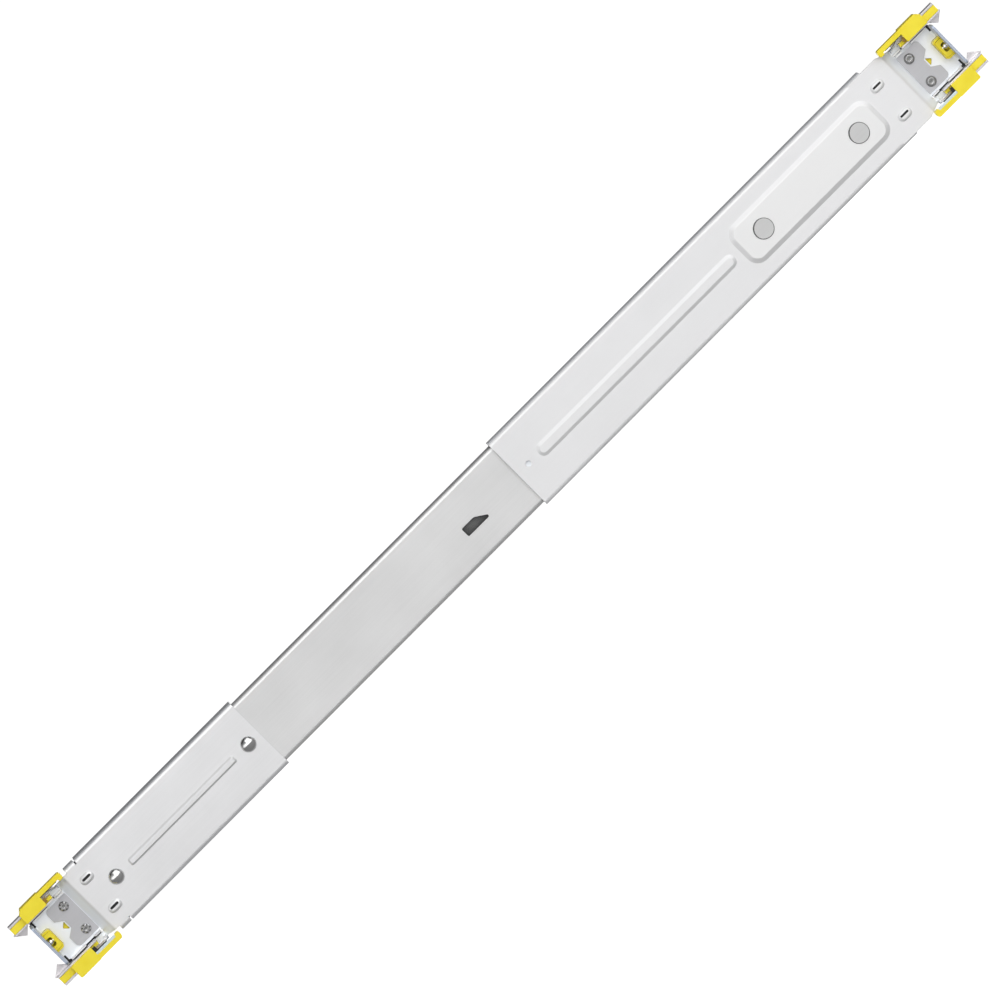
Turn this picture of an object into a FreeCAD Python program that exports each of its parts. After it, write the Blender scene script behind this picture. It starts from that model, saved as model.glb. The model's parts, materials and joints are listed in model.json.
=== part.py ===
import FreeCAD, Part
import math
import os

# One telescoping rack rail, modelled in the place that it has in the rack.
# +X runs from the front post to the rear post, +Z is up, and -Y is the outer side.
# The origin is on the front post's face, at the middle hole of one rack unit.
# Lengths are millimetres and angles are degrees.

V = FreeCAD.Vector

# Rack that the rail fits
RACK_DEPTH = 570.0  # face of the front post to face of the rear post, rail closed up
HOLE_SPACING = 31.75  # top square hole to bottom square hole
POST_EDGE_Y = 7.56  # inner edge of the post, from its line of holes
CHASSIS_SIDE_Y = 15.5  # side of the server that the inner rail lies on

# Sheet metal
SHEET = 1.2
BEND = 0.8  # inner radius of every bend
CAGE_SHEET = 0.8
RIVET_PLAY = 0.05  # around a rivet in its hole

# Running clearances
SLIDE_GAP = 0.3  # between sheets that slide flat on each other
SIDE_GAP = 0.4  # above and below the outer rail inside a bracket
POST_GAP = 0.15  # between the post's edge and the rails that slide past it
RUNNING_FIT = 0.05  # around a pivot pin, radial
BALL_PLAY = 0.05  # around a ball in its raceway, radial
STOP_GAP = 0.5  # left between two stops at the end of a stroke

# Outer rail
RAIL_HEIGHT = 35.0
RAIL_WEB_Y = 1.5
RAIL_FRONT = 28.5
RAIL_REAR_GAP = 41.5  # from the rail's rear end to the rear post
RAIL_WIDE_DEPTH = 7.5  # depth of the wide part, before the rail steps in
RAIL_STEP = 1.5
RAIL_OPEN_Y = 15.0
RAIL_TAB, RAIL_TAB_HALF = 4.1, 4.0  # how far the front stop tab stands into the rail, and half its width

# Window in the outer rail
WINDOW_GAP = 35.0  # from the window's front end to the rear bracket
WINDOW_LENGTH = 13.0
WINDOW_TOP = 0.3
WINDOW_BOTTOM = -4.5
WINDOW_SHOULDER = 7.6
WINDOW_TIP = 1.2  # height of the window's narrow end
WINDOW_CORNER, WINDOW_CURVE = 0.7, 3.0
WINDOW_LIP, WINDOW_LIP_REACH = 0.9, 2.4  # thickness of the lip bent in along its top, and its depth

# Brackets
BRACKET_HEIGHT = RAIL_HEIGHT + 2 * (SIDE_GAP + SHEET)
FRONT_BRACKET_END = 133.7
REAR_BRACKET_LENGTH = 273.0  # to the rear post
BRACKET_LIP = 2.5  # height of the lips that hold the brackets on the rail
NECK_LENGTH = 35.0  # from the post to the full height of the front bracket
REAR_NECK_LENGTH = 38.0
NECK_HALF = 16.7
REAR_NECK_HALF = 18.3
NECK_SHOULDER = 1.2  # length of the slanted shoulder of a neck
REAR_SHOULDER_SHIFT, REAR_SHOULDER_DROP = 0.8, 0.6  # of the rear neck's shoulder, inward and lower
HEAD_OVERLAP = 8.0  # of a head's sheet with the channel behind it
DEPTH_TRAVEL = 150.0  # how far the rear bracket pulls out

# Raised shapes on the brackets
RIB_START, RIB_MARGIN = 51.7, 15.6  # margin to the bracket's inner end
RIB_HEIGHT, RIB_RISE, RIB_SLOPE, RIB_CORNER = 3.9, 0.7, 0.9, 1.2
BEAD_MARGIN, BEAD_GAP = 13.3, 3.4  # from the bracket's inner end, and to the pad
BEAD_HEIGHT, BEAD_RISE, BEAD_SLOPE, BEAD_CORNER = 6.7, 0.8, 1.5, 3.25
PAD_POST_GAP, PAD_LENGTH = 44.0, 88.1  # gap from the pad to the rear post
PAD_HEIGHT, PAD_RISE, PAD_SLOPE, PAD_CORNER = 22.3, 1.2, 2.2, 6.5
DIMPLE_MARGIN, DIMPLE_DIAMETER, DENT_DIAMETER = 6.9, 3.3, 2.64
LUG_LENGTH, LUG_WIDTH, LUG_CORNER = 7.0, 4.6, 2.2
LUG_STEPS = ((0.0, 0.0), (0.35, 0.7), (1.1, 1.1))  # inset and rise of the levels of a lug's side
LUG_SLIT_LENGTH, LUG_SLIT_WIDTH, LUG_SLIT_SHIFT = 4.6, 1.0, 0.45
LUG_Z = 8.9
FRONT_LUG_U, REAR_LUG_U = 33.5, 36.3
TAB_START, TAB_END, TAB_DEPTH = 28.6, 34.2, 5.0

# Heads, the same at both ends; u is the distance inward from the post's face
WEB_RECESS_Y = 3.2
WEB_HALF = 12.4
JOGGLE_START, JOGGLE_END = 21.9, 26.4
FLANGE_HALF = 11.8
FLANGE_REACH = 8.0  # how far the end flange stands out from the hole line
FLANGE_CORNER = 1.5
FLANGE_NOTCH_GAP = 0.3  # round the hooks, in the notches at the flange's inner corners
FLANGE_FOOT = 0.4  # corner radius where the flange widens into the web
HEAD_CORNER = 1.0
EAR_START, EAR_HALF = 6.4, 16.2
PIN_EAR_END, PIN_EAR_HALF = 13.2, 17.7  # wider part of an ear, round the pivot pin
SLOT_OUTER = 13.5  # outer edge of the slot between the web and an ear
RIMS = ((3.2, 12.0), (17.8, 21.4))  # start and end of the rims along the web's edge
RIM_SHEET, RIM_DEPTH = 0.7, 4.4
SEAT_START, SEAT_END, SEAT_SHEET, SEAT_DEPTH = 20.3, 21.6, 1.0, 6.6

# Opening for the centre lock
LOCK_WINDOW_END, LOCK_WINDOW_HALF, LOCK_WINDOW_CORNER = 5.4, 5.5, 1.4
LOCK_OPENING_Y = -2.6
EYE_START, EYE_LENGTH, EYE_HALF = 9.7, 2.5, 2.3
EYE_TIP, EYE_CORNER = 0.6, 0.3  # corner radii of the three-cornered hole

# Leaf plate on the head
LEAF_START, LEAF_END, LEAF_HALF = 9.0, 21.6, 11.0
LEAF_SHEET, LEAF_CORNER = 0.6, 2.0
LEAF_NOTCH_DEPTH, LEAF_NOTCH_MOUTH, LEAF_NOTCH_FLOOR = 3.8, 4.8, 2.2
LEAF_NOTCH_CORNER, LEAF_END_CORNER = 0.6, 0.4
LEAF_RIVET_U, LEAF_RIVET_Z = 17.2, 7.1
LEAF_RIVET_HEAD, LEAF_RIVET_SHANK, LEAF_RIVET_RISE = 4.8, 2.6, 0.9
LEAF_RIVET_SLOPE = 0.7  # slant of the head's side
LEAF_RIVET_SINK = 0.4  # from the set end to the housing's back
LEAF_RIVET_HOLLOW, LEAF_RIVET_RECESS = 1.8, 1.5  # recess in a rear and in a front rivet

# Latches
PIVOT_U, PIVOT_DIAMETER = 10.5, 2.4
PIVOT_DROP = 0.275  # how far a pivot lies nearer the rail's middle than the square hole's centre
PIVOT_HEAD, PIVOT_HEAD_RISE = 3.0, 0.7
HOOK_SHEET, HOOK_WALL = 1.0, 0.8
HOOK_WEB_Y = 2.0
HOOK_REACH = 8.3  # barb's tip in front of the post's face
PRONG_REACH = 7.4
BARB_PEAK_U, BARB_PEAK_Z = -3.4, 9.3
BARB_BACK_Z = 12.5
BARB_TIP_RISE = 0.2  # of the barb's tip over the hook's inner side
PRONG_SLANT, PRONG_RISE = 0.6, 1.2  # of the prong's end
HOOK_CORNER = 0.3
HOOK_INNER_Z, HOOK_OUTER_Z = 13.0, 18.4
HOOK_FRONT_Y = -3.0
HOOK_END_U = 16.6
TAIL_END_U, TAIL_INNER_Z, TAIL_OUTER_Z = 19.8, 16.3, 19.2  # strip of the hook that runs under the arm
TAIL_SLANT, TAIL_CORNER = 1.5, 0.6
INNER_WALL_GAP, OUTER_WALL_GAP = 1.2, 0.4  # from the hook's ends to its side walls
GRIP_FRONT_Y = -5.0
GRIP_BLOCK_START, GRIP_BLOCK_END = 0.5, 12.8
GRIP_BLOCK_INNER_Z, GRIP_BLOCK_OUTER_Z = 13.7, 20.8
GRIP_CHAMFERS = {"upper": 2.0, "lower": 0.5}
GRIP_CORNER = 0.4
GRIP_TIP_REACH = 7.0
GRIP_TAIL_FRONT_Y, GRIP_TAIL_OUTER_Z = -1.5, 15.6  # small end of the core behind the block
GRIP_ARM_END, GRIP_ARM_INNER_Z, GRIP_ARM_OUTER_Z = 26.6, 18.3, 20.6
GRIP_ARM_ROOT = 2.0  # how far the arm reaches into the block
GRIP_ARM_BACK_Y = -0.4
GRIP_HOOK_WIDTH, GRIP_HOOK_Z = 2.4, 17.2
GRIP_NECK_START, GRIP_NECK_DEPTH = 1.0, 0.5  # of the web that joins the block to its core
GRIP_PLAY = 0.1  # between the grip and the steel hook that it is moulded round
SPRING_SHEET, SPRING_BEND, SPRING_WIDTH = 0.3, 0.15, 3.0
SPRING_TIP_U, SPRING_FOOT = 14.4, 0.9
SPRING_PLAY = 0.05  # from the spring to the seat and to the arm

# Centre lock
LOCK_TRAVEL = 3.5
LOCK_HALF = 4.4
LOCK_REACH_Y = -2.2
LOCK_PLATE_END = 14.0
LOCK_PLATE_THICKNESS = 1.1
LOCK_WING_START, LOCK_WING_HALF = 8.2, 6.4
LOCK_PIN_DIAMETER, LOCK_PIN_START, LOCK_PIN_END = 3.6, 0.15, 4.6
LOCK_PIN_STEP = 1.0  # how much thinner the pin's shank is than its nose
LOCK_START_GAP = 0.2  # from the pin's nose to the slider's end
LOCK_CAVITY_HALF, LOCK_CAVITY_END = 2.3, 3.6
LOCK_CORNER = 1.0
HOUSING_START, HOUSING_END, HOUSING_HALF = 0.5, 21.4, 13.6
HOUSING_THICKNESS, HOUSING_CORNER = 2.9, 1.5

# Rivets of the front bracket and of the guide block
DOME_RIVET_X, DOME_RIVET_MARGIN = 43.3, 7.0  # margin of the second rivet to the bracket's inner end
DOME_DIAMETER, DOME_RISE, DOME_SHANK = 7.3, 1.9, 4.0
SET_HEAD_DIAMETER, SET_HEAD_RISE = 6.0, 0.8
FLUSH_RIVET_MARGINS = (14.8, 12.8)  # from the pad's front and rear ends
FLUSH_DIAMETER, FLUSH_RISE, FLUSH_SHANK = 9.8, 0.35, 4.0

# Guide block under the raised pad of the rear bracket
GUIDE_MARGIN = 4.5  # from the pad's outline to the block
GUIDE_PROUD, GUIDE_CORNER = 0.15, 3.0

# Ball rows
OUTER_BALL, OUTER_ROW_Y, OUTER_GROOVE = 3.175, 11.0, 0.4
INNER_BALL, INNER_ROW_Y, INNER_GROOVE = 2.5, 12.4, 0.3
BALLS_PER_ROW = 6
BALL_MARGIN = 8.0  # from the end of a cage to its first ball
POCKET_PLAY = 0.1
OUTER_CAGE_WEB_Y = 5.4
OUTER_CAGE_DEPTH = 7.8
INNER_CAGE_WIDTH = 3.4

# Intermediate rail
MIDDLE_FRONT = 6.0
MIDDLE_REAR_GAP = 37.5  # to the outer rail's rear end
MIDDLE_TRAVEL = 300.0
MIDDLE_TAB, MIDDLE_TAB_HALF = 2.7, 4.0
ACCESS_GAP, ACCESS_SPACING, ACCESS_DIAMETER = 60.0, 120.0, 9.0  # gap from the lever's stop
ACCESS_MARGIN = 20.0  # least distance from a hole to the rail's rear end

# Inner rail
INNER_FRONT = 4.0
INNER_REAR_GAP = 17.0  # to the intermediate rail's rear end
INNER_OPEN_Y = 10.3
INNER_TRAVEL = 300.0
KEYHOLE_X, KEYHOLE_SPACING = 34.0, 170.0
KEYHOLE_HEAD, KEYHOLE_NECK, KEYHOLE_RUN = 9.0, 5.2, 9.0
SCREW_HOLE_X, SCREW_HOLE_DIAMETER = 16.0, 4.5

# Release lever of the inner rail
LEVER_PIVOT_GAP = 34.0  # from the pivot to the inner rail's rear end
LEVER_PIVOT_Z, LEVER_PIVOT_DIAMETER = -1.0, 3.0
LEVER_NOSE_REACH, LEVER_TAB_REACH = 20.0, 22.0
LEVER_Y, LEVER_THICKNESS = 11.2, 1.8
LEVER_NOSE_HALF, LEVER_NOSE_LENGTH = 2.0, 5.0
LEVER_BELLY, LEVER_BACK = 3.6, 3.4  # how far the lever reaches below and above its pivot
LEVER_TAB_LENGTH, LEVER_TAB_RISE, LEVER_CURVE = 8.0, 4.0, 2.0
LEVER_RIVET_HEAD, LEVER_RIVET_WASHER, LEVER_RIVET_RISE = 5.4, 4.8, 0.8
STOP_LENGTH, STOP_BOTTOM, STOP_TOP, STOP_END_Y = 6.0, -1.2, 3.6, 12.6
STOP_PEG, STOP_PEG_Z = 2.0, 0.9

# Rear bumper
BUMPER_LENGTH, BUMPER_HALF, BUMPER_END_Y = 7.0, 8.0, 12.5
BUMPER_GAP = 0.8
BUMPER_PEG, BUMPER_WALL, BUMPER_FLOOR = 5.0, 2.0, 3.0

# Worked out from the sizes above
RAIL_HALF = RAIL_HEIGHT / 2
RAIL_REAR = RACK_DEPTH - RAIL_REAR_GAP
STEP_HALF = RAIL_HALF - RAIL_STEP
STEP_Y = RAIL_WEB_Y + RAIL_WIDE_DEPTH
BRACKET_HALF = BRACKET_HEIGHT / 2
FRONT_WEB_Y = RAIL_WEB_Y - SHEET
REAR_WEB_Y = RAIL_WEB_Y - SLIDE_GAP - SHEET
REAR_BRACKET_START = RACK_DEPTH - REAR_BRACKET_LENGTH
WINDOW_START = REAR_BRACKET_START - WINDOW_GAP
RIB_END = FRONT_BRACKET_END - RIB_MARGIN
PAD_END = RACK_DEPTH - PAD_POST_GAP
PAD_START = PAD_END - PAD_LENGTH
BEAD_START = REAR_BRACKET_START + BEAD_MARGIN
BEAD_END = PAD_START - BEAD_GAP
DIMPLE_X = REAR_BRACKET_START + DIMPLE_MARGIN
DOME_RIVETS_X = (DOME_RIVET_X, FRONT_BRACKET_END - DOME_RIVET_MARGIN)
FLUSH_RIVETS_X = (PAD_START + FLUSH_RIVET_MARGINS[0], PAD_END - FLUSH_RIVET_MARGINS[1])
LIP_Y = STEP_Y + SIDE_GAP
LIP_END_Y = LIP_Y + SHEET
WEB_BACK_Y = WEB_RECESS_Y + SHEET
PIVOT_Z = HOLE_SPACING / 2 - PIVOT_DROP
OUTER_BALL_Z = STEP_HALF - SHEET + OUTER_GROOVE - OUTER_BALL / 2 - BALL_PLAY
MIDDLE_HALF = OUTER_BALL_Z - OUTER_BALL / 2 - BALL_PLAY + OUTER_GROOVE
INNER_BALL_Z = MIDDLE_HALF - SHEET + INNER_GROOVE - INNER_BALL / 2 - BALL_PLAY
INNER_HALF = INNER_BALL_Z - INNER_BALL / 2 - BALL_PLAY + INNER_GROOVE
MIDDLE_REAR = RAIL_REAR - MIDDLE_REAR_GAP
MIDDLE_WEB_Y = POST_EDGE_Y + POST_GAP
INNER_REAR = MIDDLE_REAR - INNER_REAR_GAP
INNER_WEB_Y = CHASSIS_SIDE_Y - SHEET
LEVER_PIVOT_X = INNER_REAR - LEVER_PIVOT_GAP
OUTER_CAGE_FRONT = RAIL_FRONT + SHEET + STOP_GAP + MIDDLE_TRAVEL / 2
OUTER_CAGE_REAR = MIDDLE_REAR - SHEET - STOP_GAP - MIDDLE_TRAVEL / 2
INNER_CAGE_FRONT = MIDDLE_FRONT + STOP_GAP + INNER_TRAVEL / 2
INNER_CAGE_REAR = INNER_REAR - STOP_GAP - INNER_TRAVEL / 2
STOP_FACE_X = LEVER_PIVOT_X - LEVER_NOSE_REACH - INNER_TRAVEL - STOP_GAP
LOCK_PLATE_Y = WEB_BACK_Y + SLIDE_GAP
EVERYWHERE = RACK_DEPTH + DEPTH_TRAVEL


# Outlines and prisms
def place(axis, a, b, level):
    """Point of an outline drawn across an axis: y and z for x, x and z for y, x and y for z."""
    if axis == "x":
        return V(level, a, b)
    if axis == "y":
        return V(a, level, b)
    return V(a, b, level)


def outline(axis, points, level):
    """Closed wire through points (a, b) or (a, b, radius), with each radius as an arc."""
    corners = [V(p[0], p[1], 0) for p in points]
    radii = [p[2] if len(p) > 2 else 0 for p in points]
    stations = []
    for i, here in enumerate(corners):
        into = (here - corners[i - 1]).normalize()
        out = (corners[(i + 1) % len(corners)] - here).normalize()
        turn = into.getAngle(out)
        if radii[i] == 0 or turn < 1e-6:
            stations.append((here, None, here))
            continue
        reach = radii[i] * math.tan(turn / 2)
        inward = (out - into).normalize()
        middle = here + inward * (radii[i] / math.cos(turn / 2) - radii[i])
        stations.append((here - into * reach, middle, here + out * reach))
    edges = []
    for i, (start, middle, end) in enumerate(stations):
        before = stations[i - 1][2]
        if (start - before).Length > 1e-6:
            edges.append(
                Part.LineSegment(
                    place(axis, before.x, before.y, level),
                    place(axis, start.x, start.y, level),
                ).toShape()
            )
        if middle is not None:
            arc = [place(axis, p.x, p.y, level) for p in (start, middle, end)]
            edges.append(Part.Arc(*arc).toShape())
    return Part.Wire(edges)


def prism(axis, points, start, end):
    """Outline pushed along an axis from start to end."""
    face = Part.Face(outline(axis, points, start))
    return face.extrude(place(axis, 0, 0, end - start))


def block(x0, x1, y0, y1, z0, z1):
    """Plain box between two corners."""
    return Part.makeBox(x1 - x0, y1 - y0, z1 - z0, V(x0, y0, z0))


def rod(axis, a, b, diameter, start, end):
    """Cylinder along an axis, through the point (a, b) across it."""
    length = end - start
    return Part.makeCylinder(
        diameter / 2, abs(length), place(axis, a, b, start), place(axis, 0, 0, length)
    )


def rectangle(a0, a1, b0, b1, radius=0.0):
    """Outline of a rectangle with rounded corners."""
    return [(a0, b0, radius), (a1, b0, radius), (a1, b1, radius), (a0, b1, radius)]


def mirrored_halves(points):
    """Outline made of its upper half and the same half mirrored below."""
    below = [(p[0], -p[1], *p[2:]) for p in reversed(points)]
    return list(points) + below


def sheet_outline(face, thickness=SHEET, bend=BEND):
    """Outline of a bent sheet that lies to the left of an open path of points (a, b)."""
    path = [V(a, b, 0) for a, b in face]
    normals = []
    for here, after in zip(path, path[1:]):
        along = (after - here).normalize()
        normals.append(V(-along.y, along.x, 0))
    near, far = [(path[0].x, path[0].y)], []
    start = path[0] + normals[0] * thickness
    far.append((start.x, start.y))
    for here, n0, n1 in zip(path[1:], normals, normals[1:]):
        other = here + (n0 + n1) * (thickness / (1 + n0.dot(n1)))
        turns_left = n0.cross(n1).z > 0
        near.append((here.x, here.y, bend + thickness if turns_left else bend))
        far.append((other.x, other.y, bend if turns_left else bend + thickness))
    end = path[-1] + normals[-1] * thickness
    near.append((path[-1].x, path[-1].y))
    far.append((end.x, end.y))
    return near + list(reversed(far))


def tidy(shape):
    """Shape with the seams between its joined faces taken out."""
    return shape.removeSplitter()


def joined(first, *others):
    """Several solids as one."""
    return tidy(first.multiFuse(list(others)))


def cut(shape, *tools):
    """Shape less the tools."""
    return tidy(shape.cut(Part.Compound(list(tools))))


def group(*solids):
    """Separate solids kept in one node."""
    return Part.Compound(list(solids))


def upside_down(shape):
    """Mirror image below the rail's middle plane."""
    return shape.mirror(V(0, 0, 0), V(0, 0, 1))


def at_rear(shape):
    """Mirror image of a front head's piece, at the rear post."""
    return shape.mirror(V(RACK_DEPTH / 2, 0, 0), V(1, 0, 0))


# Raised shapes pressed out of a web
def raised(web_y, x0, x1, half, corner, rise, slope):
    """Solid of a pressed-out field, with its base on the web's outer face."""
    base = outline("y", rectangle(x0, x1, -half, half, corner), web_y)
    top_corner = max(corner - slope, 0.2)
    inner = rectangle(x0 + slope, x1 - slope, slope - half, half - slope, top_corner)
    return Part.makeLoft([base, outline("y", inner, web_y - rise)], True, True)


def press_out(plate, web_y, *fields):
    """Plate with fields pressed out of it, as thick there as elsewhere."""
    for field in fields:
        plate = plate.fuse(field).cut(field.translated(V(0, SHEET, 0)))
    return tidy(plate)


def lug(plate, web_y, x, z):
    """Plate with a small rounded boss pressed out of it, slit along its upper side."""
    levels = []
    for inset, rise in LUG_STEPS:
        along, across = LUG_LENGTH / 2 - inset, LUG_WIDTH / 2 - inset
        edge = rectangle(x - along, x + along, z - across, z + across, LUG_CORNER - inset)
        levels.append(outline("y", edge, web_y - rise))
    boss = Part.makeLoft(levels, True, True)
    middle = z + LUG_SLIT_SHIFT
    slit = rectangle(
        x - LUG_SLIT_LENGTH / 2,
        x + LUG_SLIT_LENGTH / 2,
        middle - LUG_SLIT_WIDTH / 2,
        middle + LUG_SLIT_WIDTH / 2,
        LUG_SLIT_WIDTH / 3,
    )
    return press_out(plate, web_y, boss).cut(prism("y", slit, web_y - WEB_RECESS_Y, web_y + 2 * SHEET))


# Brackets
def head_sheet(web_y, end_u):
    """Flat, joggled and bent sheet of a head, seen from above, before its outline is cut."""
    path = [
        (end_u, web_y),
        (JOGGLE_END, web_y),
        (JOGGLE_START, WEB_RECESS_Y),
        (SHEET, WEB_RECESS_Y),
        (SHEET, -FLANGE_REACH),
    ]
    return sheet_outline(list(reversed(path)))


def head_blank(web_y, end_u, neck_u, neck_half, shoulder_half):
    """Head of a bracket from its end flange to the neck, with its openings."""
    sheet = prism("z", head_sheet(web_y, end_u), -BRACKET_HALF, BRACKET_HALF)
    edge = [
        (-1, FLANGE_HALF),
        (2 * SHEET, FLANGE_HALF, FLANGE_FOOT),
        (RIMS[0][0], WEB_HALF, FLANGE_FOOT),
        (JOGGLE_START, WEB_HALF),
        (JOGGLE_START, SLOT_OUTER),
        (EAR_START, SLOT_OUTER, HEAD_CORNER),
        (EAR_START, PIN_EAR_HALF, HEAD_CORNER),
        (PIN_EAR_END, PIN_EAR_HALF, HEAD_CORNER),
        (PIN_EAR_END + HEAD_CORNER, EAR_HALF, HEAD_CORNER / 2),
        (JOGGLE_START, EAR_HALF, HEAD_CORNER),
        (neck_u, shoulder_half, HEAD_CORNER),
        (neck_u + NECK_SHOULDER, neck_half, HEAD_CORNER),
        (end_u + 1, neck_half),
    ]
    sheet = sheet.common(prism("y", mirrored_halves(edge), -EVERYWHERE, EVERYWHERE))
    flange_edge = [
        (-FLANGE_REACH, FLANGE_HALF, FLANGE_CORNER),
        (-SLIDE_GAP, FLANGE_HALF),
        (-SLIDE_GAP, BRACKET_HALF),
        (WEB_BACK_Y, BRACKET_HALF),
    ]
    sheet = sheet.common(prism("x", mirrored_halves(flange_edge), -1, EVERYWHERE))
    window = rectangle(-1, LOCK_WINDOW_END, -LOCK_WINDOW_HALF, LOCK_WINDOW_HALF, LOCK_WINDOW_CORNER)
    through = (0, WEB_BACK_Y + 1)
    notch_y, notch_z = HOOK_WEB_Y - FLANGE_NOTCH_GAP, BARB_PEAK_Z - FLANGE_NOTCH_GAP
    notch = block(-1, SHEET + BEND, notch_y, through[1], notch_z, BRACKET_HALF)
    eye = [
        (EYE_START, 0, EYE_TIP),
        (EYE_START + EYE_LENGTH, EYE_HALF, EYE_CORNER),
        (EYE_START + EYE_LENGTH, -EYE_HALF, EYE_CORNER),
    ]
    openings = [
        prism("y", window, LOCK_OPENING_Y, through[1]),
        notch,
        upside_down(notch),
        prism("y", eye, *through),
    ]
    for u, z, shank in ((LEAF_RIVET_U, LEAF_RIVET_Z, LEAF_RIVET_SHANK), (PIVOT_U, PIVOT_Z, PIVOT_DIAMETER)):
        openings += [rod("y", u, side * z, shank + 2 * RIVET_PLAY, *through) for side in (-1, 1)]
    return cut(sheet, *openings).multiFuse(head_rims())


def head_rims():
    """Rims bent out along the web and the spring seats bent out of the ears, above and below."""
    inside = WEB_RECESS_Y + SHEET / 2
    upper = [
        block(start, end, WEB_RECESS_Y - RIM_DEPTH, inside, WEB_HALF - RIM_SHEET, WEB_HALF)
        for start, end in RIMS
    ]
    upper.append(
        block(SEAT_START, SEAT_END, WEB_RECESS_Y - SEAT_DEPTH, inside, EAR_HALF - SEAT_SHEET, EAR_HALF)
    )
    return upper + [upside_down(rim) for rim in upper]


def channel(web_y, x0, x1):
    """Bracket's body: a channel whose lips hold it on the outer rail."""
    lip = BRACKET_HALF - BRACKET_LIP
    path = [
        (LIP_END_Y, -lip),
        (LIP_END_Y, -BRACKET_HALF),
        (web_y, -BRACKET_HALF),
        (web_y, BRACKET_HALF),
        (LIP_END_Y, BRACKET_HALF),
        (LIP_END_Y, lip),
    ]
    return prism("x", sheet_outline(list(reversed(path))), x0, x1)


def front_bracket():
    web = FRONT_WEB_Y
    body = channel(web, NECK_LENGTH, FRONT_BRACKET_END)
    head = head_blank(web, NECK_LENGTH + HEAD_OVERLAP, JOGGLE_END, NECK_HALF, NECK_HALF)
    tabs = channel(web, TAB_START, TAB_END).common(
        block(TAB_START, TAB_END, web, web + TAB_DEPTH, -BRACKET_HALF, BRACKET_HALF)
    )
    plate = joined(body, head, tabs)
    rib = raised(web, RIB_START, RIB_END, RIB_HEIGHT / 2, RIB_CORNER, RIB_RISE, RIB_SLOPE)
    plate = press_out(plate, web, rib)
    for side in (-1, 1):
        plate = lug(plate, web, FRONT_LUG_U, side * LUG_Z)
    hole = DOME_SHANK + 2 * RIVET_PLAY
    return cut(plate, *(rod("y", x, 0, hole, web - SHEET, web + 2 * SHEET) for x in DOME_RIVETS_X))


def rear_bracket():
    web = REAR_WEB_Y
    body = channel(web, REAR_BRACKET_START, RACK_DEPTH - REAR_NECK_LENGTH)
    head = head_blank(
        web,
        REAR_NECK_LENGTH + HEAD_OVERLAP,
        JOGGLE_END + REAR_SHOULDER_SHIFT,
        REAR_NECK_HALF,
        REAR_NECK_HALF - REAR_SHOULDER_DROP,
    )
    plate = joined(body, at_rear(head))
    bead = raised(web, BEAD_START, BEAD_END, BEAD_HEIGHT / 2, BEAD_CORNER, BEAD_RISE, BEAD_SLOPE)
    pad = raised(web, PAD_START, PAD_END, PAD_HEIGHT / 2, PAD_CORNER, PAD_RISE, PAD_SLOPE)
    plate = press_out(plate, web, bead, pad)
    for side in (-1, 1):
        plate = lug(plate, web, RACK_DEPTH - REAR_LUG_U, side * LUG_Z)
    dimple = rod("y", DIMPLE_X, 0, DIMPLE_DIAMETER, web + SHEET / 2, web + 2 * SHEET)
    dent = rod("y", DIMPLE_X, 0, DENT_DIAMETER, web - SHEET, web + SHEET)
    plate = plate.fuse(dimple).cut(dent)
    hole, outside = FLUSH_SHANK + 2 * RIVET_PLAY, web - PAD_RISE - SHEET
    return cut(plate, *(rod("y", x, 0, hole, outside, web + 2 * SHEET) for x in FLUSH_RIVETS_X))


# Rails
def raceway(ball, row_y, row_z, x0, x1):
    """Groove that a row of balls runs in."""
    return rod("x", row_y, row_z, ball + 2 * BALL_PLAY, x0 - 1, x1 + 1)


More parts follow.
